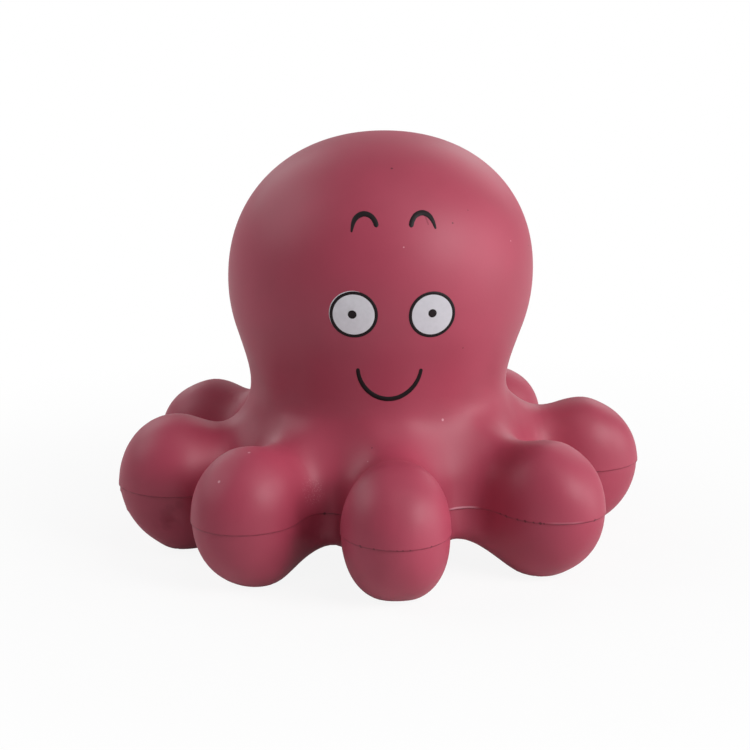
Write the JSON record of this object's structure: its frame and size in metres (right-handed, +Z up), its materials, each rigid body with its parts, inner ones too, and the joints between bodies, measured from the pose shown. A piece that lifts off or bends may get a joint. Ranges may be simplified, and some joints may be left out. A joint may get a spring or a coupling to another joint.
{
  "type": "octopus stress ball",
  "caption": "Soft foam squeeze toy in the shape of an octopus: a round head with a printed smiling face on a body ringed by short bulb-ended arms that it stands on.",
  "frame": {"origin": "on the table under the axis of the body, at the middle of the toy's box", "axes": "+Z up, the printed face looks towards -Y, +X to the right of a viewer who faces it"},
  "size_m": [0.0812, 0.0812, 0.0616],
  "materials": {
    "foam": "matte integral skin of moulded polyurethane foam",
    "black_ink": "matte printed ink",
    "white_ink": "matte printed ink"
  },
  "bodies": {
    "base": {"body": "foam"},
    "waist": {"waist": "foam"},
    "head": {"head": "foam", "left_eye_ring": "black_ink", "left_eye_white": "white_ink", "left_pupil": "black_ink", "left_brow": "black_ink", "right_eye_ring": "black_ink", "right_eye_white": "white_ink", "right_pupil": "black_ink", "right_brow": "black_ink", "smile": "black_ink"},
    "front_arm": {"front_arm_root": "foam", "front_arm_bulb": "foam"},
    "front_right_arm": {"front_right_arm_root": "foam", "front_right_arm_bulb": "foam"},
    "right_arm": {"right_arm_root": "foam", "right_arm_bulb": "foam"},
    "back_right_arm": {"back_right_arm_root": "foam", "back_right_arm_bulb": "foam"},
    "back_arm": {"back_arm_root": "foam", "back_arm_bulb": "foam"},
    "back_left_arm": {"back_left_arm_root": "foam", "back_left_arm_bulb": "foam"},
    "left_arm": {"left_arm_root": "foam", "left_arm_bulb": "foam"},
    "front_left_arm": {"front_left_arm_root": "foam", "front_left_arm_bulb": "foam"}
  },
  "joints": [
    {"name": "head_nod", "type": "hinge", "parent": "base", "child": "waist", "pos_m": [0, 0, 0.0218], "axis": [1, 0, 0], "range_deg": [-8, 8], "stiffness_Nm_per_rad": 0.4, "deforming": ["waist"]},
    {"name": "head_press", "type": "slide", "parent": "waist", "child": "head", "axis": [0, 0, 1], "range_m": [-0.005, 0], "stiffness_N_per_m": 2000, "deforming": ["waist"]},
    {"name": "front_arm_flex", "type": "hinge", "parent": "base", "child": "front_arm", "pos_m": [0, -0.0256, 0.0099], "axis": [-1, 0, 0], "range_deg": [-6, 18], "stiffness_Nm_per_rad": 0.05, "deforming": ["front_arm_root"]},
    {"name": "front_right_arm_flex", "type": "hinge", "parent": "base", "child": "front_right_arm", "pos_m": [0.01832, -0.01788, 0.0099], "axis": [-0.6984, -0.7157, 0], "range_deg": [-6, 18], "stiffness_Nm_per_rad": 0.05, "deforming": ["front_right_arm_root"]},
    {"name": "right_arm_flex", "type": "hinge", "parent": "base", "child": "right_arm", "pos_m": [0.02551, 0.00214, 0.0099], "axis": [0.0837, -0.9965, 0], "range_deg": [-6, 18], "stiffness_Nm_per_rad": 0.05, "deforming": ["right_arm_root"]},
    {"name": "back_right_arm_flex", "type": "hinge", "parent": "base", "child": "back_right_arm", "pos_m": [0.01632, 0.01973, 0.0099], "axis": [0.7705, -0.6374, 0], "range_deg": [-6, 18], "stiffness_Nm_per_rad": 0.05, "deforming": ["back_right_arm_root"]},
    {"name": "back_arm_flex", "type": "hinge", "parent": "base", "child": "back_arm", "pos_m": [-0.00343, 0.02537, 0.0099], "axis": [0.991, 0.134, 0], "range_deg": [-6, 18], "stiffness_Nm_per_rad": 0.05, "deforming": ["back_arm_root"]},
    {"name": "back_left_arm_flex", "type": "hinge", "parent": "base", "child": "back_left_arm", "pos_m": [-0.021, 0.01465, 0.0099], "axis": [0.5721, 0.8202, 0], "range_deg": [-6, 18], "stiffness_Nm_per_rad": 0.05, "deforming": ["back_left_arm_root"]},
    {"name": "left_arm_flex", "type": "hinge", "parent": "base", "child": "left_arm", "pos_m": [-0.02547, -0.00254, 0.0099], "axis": [-0.0993, 0.9951, 0], "range_deg": [-6, 18], "stiffness_Nm_per_rad": 0.05, "deforming": ["left_arm_root"]},
    {"name": "front_left_arm_flex", "type": "hinge", "parent": "base", "child": "front_left_arm", "pos_m": [-0.01686, -0.01926, 0.0099], "axis": [-0.7524, 0.6587, 0], "range_deg": [-6, 18], "stiffness_Nm_per_rad": 0.05, "deforming": ["front_left_arm_root"]}
  ]
}
